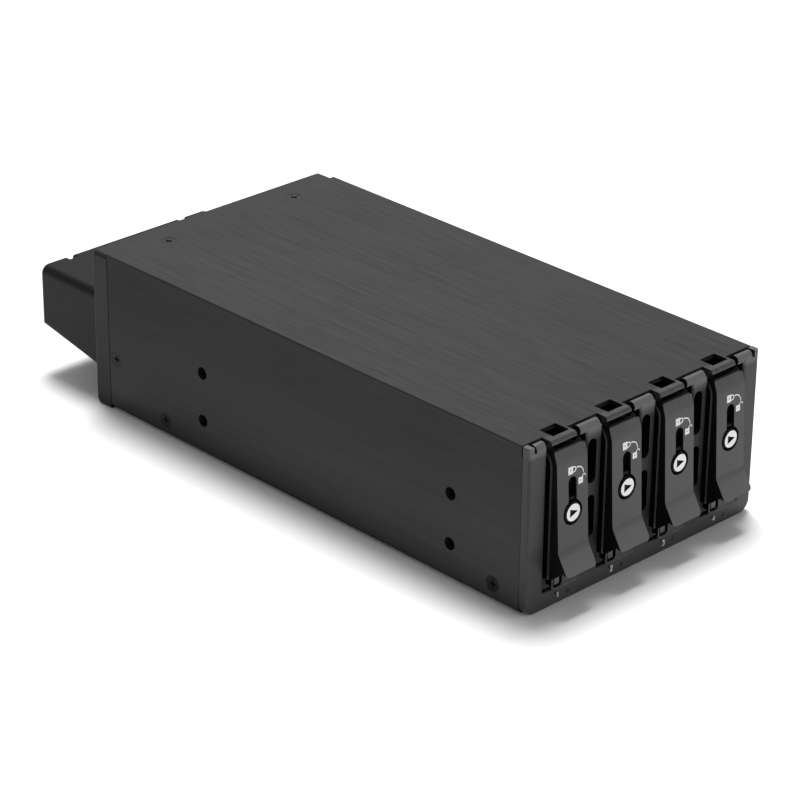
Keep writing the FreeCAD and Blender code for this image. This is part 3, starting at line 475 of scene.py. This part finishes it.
for name, o in NODES.items():
    w = o.modifiers.new("weld", "WELD")
    w.merge_threshold = 2e-6
    d = o.modifiers.new("flat", "DECIMATE")
    d.decimate_type = "DISSOLVE"
    d.angle_limit = math.radians(0.3)
    b = o.modifiers.new("edge", "BEVEL")
    b.width = EDGE[name] / 1000.0
    b.segments = 2
    b.limit_method = "ANGLE"
    b.angle_limit = math.radians(40)
    b.use_clamp_overlap = True
    wn = o.modifiers.new("normals", "WEIGHTED_NORMAL")
    wn.weight = 50
    wn.keep_sharp = False


# ------------------------------------------------------------- small helpers
def mesh_object(name, bm, mat, body):
    me = bpy.data.meshes.new(name)
    bm.to_mesh(me)
    bm.free()
    o = bpy.data.objects.new(name, me)
    SC.collection.objects.link(o)
    me.materials.append(MATS[mat].m)
    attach(o, body)
    return o


def prism(bm, pts, to3d, depth_in, depth_out):
    """closed prism over the outline pts; to3d(a, b, off) gives the point"""
    n = len(pts)
    lo = [bm.verts.new(to3d(a, b, -depth_in)) for a, b in pts]
    hi = [bm.verts.new(to3d(a, b, depth_out)) for a, b in pts]
    bm.faces.new(hi)
    bm.faces.new(lo[::-1])
    for i in range(n):
        j = (i + 1) % n
        bm.faces.new((lo[i], lo[j], hi[j], hi[i]))


def strip(bm, pts, width, to3d, depth_in, depth_out, taper=1.0):
    """closed band of a given width along pts"""
    left, right = [], []
    n = len(pts)
    for i, p in enumerate(pts):
        a = pts[max(i - 1, 0)]
        b = pts[min(i + 1, n - 1)]
        dx, dz = b[0] - a[0], b[1] - a[1]
        L = math.hypot(dx, dz)
        w = width / 2.0 * (1.0 + (taper - 1.0) * i / (n - 1.0))
        nx, nz = -dz / L * w, dx / L * w
        left.append((p[0] + nx, p[1] + nz))
        right.append((p[0] - nx, p[1] - nz))
    ring = []
    for q in (left, right):
        ring.append([(bm.verts.new(to3d(a, b, -depth_in)), bm.verts.new(to3d(a, b, depth_out))) for a, b in q])
    L, R = ring
    for i in range(n - 1):
        bm.faces.new((L[i][1], L[i + 1][1], R[i + 1][1], R[i][1]))
        bm.faces.new((L[i][0], R[i][0], R[i + 1][0], L[i + 1][0]))
        bm.faces.new((L[i][0], L[i + 1][0], L[i + 1][1], L[i][1]))
        bm.faces.new((R[i][0], R[i][1], R[i + 1][1], R[i + 1][0]))
    bm.faces.new((L[0][0], L[0][1], R[0][1], R[0][0]))
    bm.faces.new((L[-1][0], R[-1][0], R[-1][1], L[-1][1]))


def ring_prism(bm, outer, inner, to3d, depth_in, depth_out):
    """closed flat ring between two outlines with the same number of points"""
    n = len(outer)
    v = [[(bm.verts.new(to3d(a, b, -depth_in)), bm.verts.new(to3d(a, b, depth_out))) for a, b in q] for q in (outer, inner)]
    O, I = v
    for i in range(n):
        j = (i + 1) % n
        bm.faces.new((O[i][1], O[j][1], I[j][1], I[i][1]))
        bm.faces.new((O[i][0], I[i][0], I[j][0], O[j][0]))
        bm.faces.new((O[i][0], O[j][0], O[j][1], O[i][1]))
        bm.faces.new((I[i][0], I[i][1], I[j][1], I[j][0]))


def box_into(bm, x0, x1, y0, y1, z0, z1, cut=0.0):
    """box with its upright corners cut off by cut, in the drawing frame"""
    c = cut
    pts = [(x0 + c, y0), (x1 - c, y0), (x1, y0 + c), (x1, y1 - c), (x1 - c, y1), (x0 + c, y1), (x0, y1 - c), (x0, y0 + c)]
    if c <= 0:
        pts = [(x0, y0), (x1, y0), (x1, y1), (x0, y1)]
    lo = [bm.verts.new(P(a, b, z0)) for a, b in pts]
    hi = [bm.verts.new(P(a, b, z1)) for a, b in pts]
    bm.faces.new(hi)
    bm.faces.new(lo[::-1])
    for i in range(len(pts)):
        j = (i + 1) % len(pts)
        bm.faces.new((lo[i], lo[j], hi[j], hi[i]))


def tidy(bm):
    bmesh.ops.recalc_face_normals(bm, faces=bm.faces)


# -------------------------------------------------- printed marks, levers
def lever_plane(k):
    """point on the flat front of lever k: local x, height, distance proud"""
    x0 = BAY_X[k]
    n = Vector((0.0, -19.9, 1.15)).normalized()

    def f(a, b, off):
        y = -1.5 - (34.9 - b) * 1.15 / 19.9
        return P(x0 + a + n.x * off, y + n.y * off, b + n.z * off)
    return f


def arc_pts(cx, cz, r, a0, a1, n, sx=1.0):
    return [(cx + sx * r * math.cos(math.radians(a0 + (a1 - a0) * i / n)), cz + r * math.sin(math.radians(a0 + (a1 - a0) * i / n)))
            for i in range(n + 1)]


INK_IN, INK_OUT = 0.03, 0.02
for k in range(4):
    f = lever_plane(k)
    body = "lever_%d" % (k + 1)
    bm = bmesh.new()
    # shut padlock, lying on its side: body with a keyhole, shackle to the right
    ox, oz = 5.22, 32.62
    outer = [(ox - 0.68, oz - 0.84), (ox, oz - 0.84), (ox + 0.68, oz - 0.84), (ox + 0.68, oz), (ox + 0.68, oz + 0.84), (ox, oz + 0.84),
             (ox - 0.68, oz + 0.84), (ox - 0.68, oz)]
    angs = [-135, -90, -45, 0, 45, 90, 135, 180]
    inner = [(ox + 0.17 * math.cos(math.radians(a)), oz + 0.2 * math.sin(math.radians(a))) for a in angs]
    ring_prism(bm, outer, inner, f, INK_IN, INK_OUT)
    path = [(ox + 0.70, oz + 0.54)] + arc_pts(ox + 0.98, oz, 0.54, 80, -80, 10, 1.1) + [(ox + 0.70, oz - 0.54)]
    strip(bm, path, 0.26, f, INK_IN, INK_OUT)
    # arrow-less arc from the shut to the open sign
    path = [(7.10, 32.80), (7.50, 32.80), (7.95, 32.68), (8.36, 32.46), (8.68, 32.12), (8.90, 31.72), (9.02, 31.30), (9.08, 30.98)]
    strip(bm, path, 0.30, f, INK_IN, INK_OUT, 0.55)
    # open padlock, upright, its shackle swung out to the right
    ox, oz = 8.18, 29.52
    outer = [(ox - 0.66, oz - 0.70), (ox, oz - 0.70), (ox + 0.66, oz - 0.70), (ox + 0.66, oz), (ox + 0.66, oz + 0.70), (ox, oz + 0.70),
             (ox - 0.66, oz + 0.70), (ox - 0.66, oz)]
    inner = [(ox + 0.15 * math.cos(math.radians(a)), oz + 0.17 * math.sin(math.radians(a))) for a in angs]
    ring_prism(bm, outer, inner, f, INK_IN, INK_OUT)
    path = [(ox + 0.50, oz + 0.72), (ox + 0.62, oz + 0.98), (ox + 0.92, oz + 1.16), (ox + 1.24, oz + 1.10), (ox + 1.42, oz + 0.86),
            (ox + 1.42, oz + 0.60)]
    strip(bm, path, 0.20, f, INK_IN, INK_OUT)
    tidy(bm)
    mesh_object("lever_%d_marks" % (k + 1), bm, "white_ink", body)


# -------------------------------------------- plain bay numbers on the bottom rail
def digit_paths(d):
    if d == 1:
        return [[(-0.22, 0.28), (0.05, 0.55), (0.05, -0.55)]]
    if d == 2:
        return [[(-0.3, 0.3), (-0.18, 0.5), (0.05, 0.56), (0.26, 0.44), (0.3, 0.22), (0.16, -0.02), (-0.12, -0.3), (-0.32, -0.55), (0.34, -0.55)]]
    if d == 3:
        return [[(-0.3, 0.42), (-0.08, 0.56), (0.18, 0.52), (0.3, 0.32), (0.2, 0.1), (-0.02, 0.02)],
                [(-0.02, 0.02), (0.24, -0.08), (0.34, -0.3), (0.2, -0.52), (-0.06, -0.58), (-0.32, -0.42)]]
    return [[(0.14, -0.56), (0.14, 0.56), (-0.34, -0.22), (0.36, -0.22)]]


def rail_plane(k):
    x0 = BAY_X[k]

    def f(a, b, off):
        return P(x0 + a, -off, b)
    return f


for k in range(4):
    bm = bmesh.new()
    f = rail_plane(k)
    for path in digit_paths(k + 1):
        strip(bm, [(4.42 + a * 1.1, 3.35 + b * 1.1) for a, b in path], 0.24, f, INK_IN, INK_OUT)
    tidy(bm)
    mesh_object("bay_number_%d" % (k + 1), bm, "white_ink", "root")


# ------------------------------------------------------ boards: parts, contacts
def board_parts(k):
    """parts and gold contacts on a tray's board; the board's outer face looks to -X at local x 7.3"""
    x0 = BAY_X[k]
    rnd = random.Random(31)
    body = "tray_%d" % (k + 1)
    # contact fingers on the rear tongue, both faces
    bm = bmesh.new()
    for side in (0, 1):
        xa, xb = (x0 + 7.27, x0 + 7.32) if side == 0 else (x0 + 8.48, x0 + 8.53)
        for j in range(15):
            z = 13.8 + 1.18 * j
            box_into(bm, xa, xb, 103.2, 107.6, z, z + 0.72)
    tidy(bm)
    mesh_object("tray_%d_contacts" % (k + 1), bm, "gold", body)
    # chip capacitors and resistors on the far face
    bm = bmesh.new()
    ends = bmesh.new()
    for j in range(26):
        y = rnd.uniform(24.0, 84.0)
        z = rnd.choice((11.0, 12.6, 31.2, 32.8, 20.5, 23.5))
        if 14.0 < z < 30.0 and rnd.random() < 0.3:
            continue
        w = rnd.choice((0.5, 0.62))
        box_into(bm, x0 + 8.48, x0 + 8.48 + w, y - 0.45, y + 0.45, z - 0.32, z + 0.32, 0.03)
        box_into(ends, x0 + 8.47, x0 + 8.50 + w, y - 0.72, y - 0.42, z - 0.34, z + 0.34, 0.03)
        box_into(ends, x0 + 8.47, x0 + 8.50 + w, y + 0.42, y + 0.72, z - 0.34, z + 0.34, 0.03)
    tidy(bm)
    tidy(ends)
    mesh_object("tray_%d_chips" % (k + 1), bm, "component_black", body)
    mesh_object("tray_%d_chip_ends" % (k + 1), ends, "tin", body)
    # the socket's contact tails
    bm = bmesh.new()
    for j in range(20):
        z = 12.25 + 1.0 * j
        box_into(bm, x0 + 7.0, x0 + 7.33, 91.9, 92.6, z, z + 0.32)
        box_into(bm, x0 + 7.0, x0 + 7.33, 99.7, 100.4, z + 0.1, z + 0.42)
    tidy(bm)
    mesh_object("tray_%d_socket_tails" % (k + 1), bm, "gold", body)


for k in range(4):
    board_parts(k)

# leads of the packages on the connector board
bm = bmesh.new()
zb = 16.8
for j in range(4):
    xc = 28.0 + 12.2 * (j - 1.5)
    for s in range(8):
        y = 124.0 + 0.8 * s
        box_into(bm, xc - 4.5, xc - 3.45, y, y + 0.36, zb - 0.01, zb + 0.22)
        box_into(bm, xc + 3.45, xc + 4.5, y, y + 0.36, zb - 0.01, zb + 0.22)
tidy(bm)
mesh_object("board_leads", bm, "tin", "root")

# ------------------------------------------------------------- studio, camera
me = bpy.data.meshes.new("floor")
s = 6.0
me.from_pydata([(-s, -s, 0), (s, -s, 0), (s, s, 0), (-s, s, 0)], [], [(0, 1, 2, 3)])
floor = bpy.data.objects.new("floor", me)
SC.collection.objects.link(floor)
fm = bpy.data.materials.new("floor_pale")
fm.use_nodes = True
fb = next(n for n in fm.node_tree.nodes if n.type == "BSDF_PRINCIPLED")
fb.inputs["Base Color"].default_value = (0.90, 0.90, 0.90, 1)
fb.inputs["Roughness"].default_value = 0.85
fb.inputs["Specular IOR Level"].default_value = 0.1
me.materials.append(fm)

world = bpy.data.worlds.new("studio")
SC.world = world
world.use_nodes = True
bg = next(n for n in world.node_tree.nodes if n.type == "BACKGROUND")
bg.inputs["Color"].default_value = (1.0, 1.0, 1.0, 1)
bg.inputs["Strength"].default_value = 0.28


def sky(name, direction, angle, strength):
    """even light from one part of the studio's ceiling"""
    d = bpy.data.lights.new(name, "SUN")
    d.energy, d.angle = strength, math.radians(angle)
    o = bpy.data.objects.new(name, d)
    SC.collection.objects.link(o)
    o.rotation_mode = "QUATERNION"
    o.rotation_quaternion = (-Vector(direction)).to_track_quat("-Z", "Y")
    return o


# wide light from above that leans a little over the cage from behind, so that the
# shadow stays close to the two sides that face the camera; two weak fills
sky("key_high", (0.190, 0.235, 1.0), 19, 2.2)
sky("key_wide", (0.215, 0.255, 1.0), 28, 1.35)
sky("left", (-0.80, 0.10, 0.70), 40, 0.12)
sky("rear", (0.80, 0.85, 0.75), 45, 0.25)
sky("front", (0.60, -0.72, 0.40), 46, 0.50)

cam_d = bpy.data.cameras.new("camera")
cam_d.sensor_fit = "HORIZONTAL"
cam_d.sensor_width = 36.0
cam_d.lens = 140.7074
cam_d.shift_x, cam_d.shift_y = -0.5 / 800.0, 0.5 / 800.0
cam_d.clip_start, cam_d.clip_end = 0.05, 50.0
cam = bpy.data.objects.new("camera", cam_d)
SC.collection.objects.link(cam)
R = Matrix(((0.7204541, 0.2975622, -0.6264205), (-0.6934393, 0.3213057, -0.6449067), (0.0093726, 0.8990102, 0.4378274)))
cam.matrix_world = Matrix.Translation((-0.4450700, -0.4627398, 0.3230675)) @ R.to_4x4()
SC.camera = cam

SC.view_settings.view_transform = "Standard"
SC.view_settings.look = "None"
